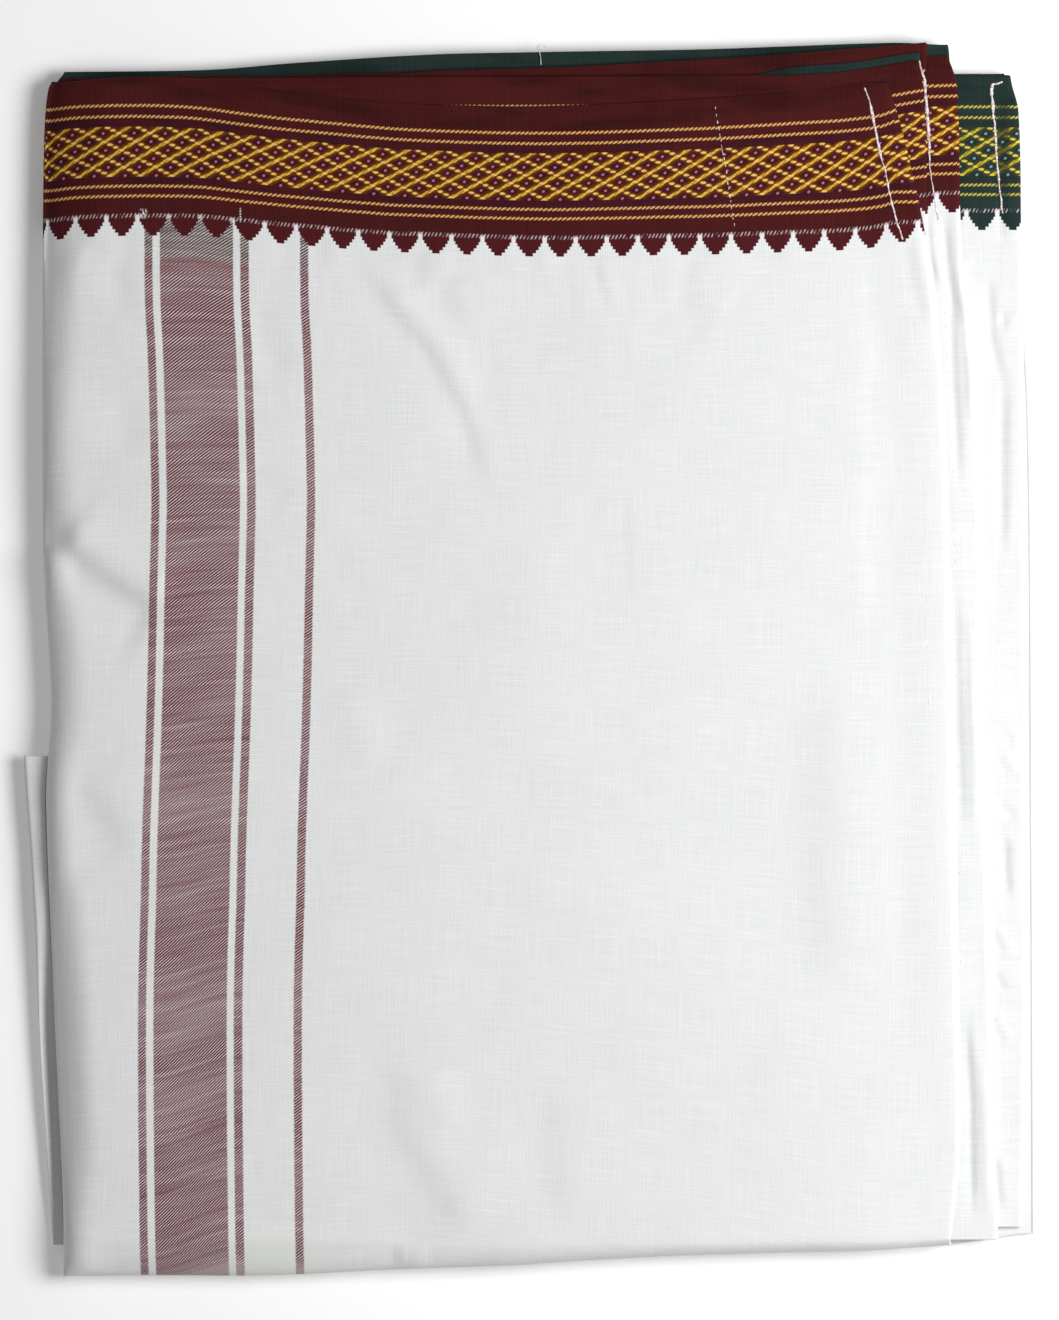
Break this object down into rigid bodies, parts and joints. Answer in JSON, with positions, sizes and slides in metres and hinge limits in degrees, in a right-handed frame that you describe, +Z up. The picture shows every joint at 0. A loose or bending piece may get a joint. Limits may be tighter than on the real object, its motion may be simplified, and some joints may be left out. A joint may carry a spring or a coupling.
{
  "type": "folded gamcha",
  "caption": "Folded cotton gamcha, a long hand-woven cloth with maroon and green selvedge borders, doubled and folded into panels so that it lies flat.",
  "frame": {"origin": "on the surface that the folded cloth lies on, under the middle of its box", "axes": "+Z up, out of the front face; +Y from the doubled fold towards the selvedges; +X towards the stepped panel folds"},
  "size_m": [0.3168, 0.3868, 0.0143],
  "materials": {
    "white_cotton": "plain-woven cotton, matt",
    "maroon_border": "ribbed cotton, matt, with gold-coloured thread",
    "green_border": "ribbed cotton, matt, with gold-coloured thread"
  },
  "bodies": {
    "root": {"front_body": "white_cotton", "front_border": "maroon_border", "second_border": "maroon_border", "green_fold_border": "green_border", "raised_border": "maroon_border", "third_border": "maroon_border", "green_top_border": "green_border", "third_body": "white_cotton", "fourth_border": "green_border", "fourth_body": "white_cotton", "left_tongue": "white_cotton", "hidden_layers": "white_cotton", "back_body": "white_cotton", "back_border": "maroon_border"}
  },
  "joints": []
}
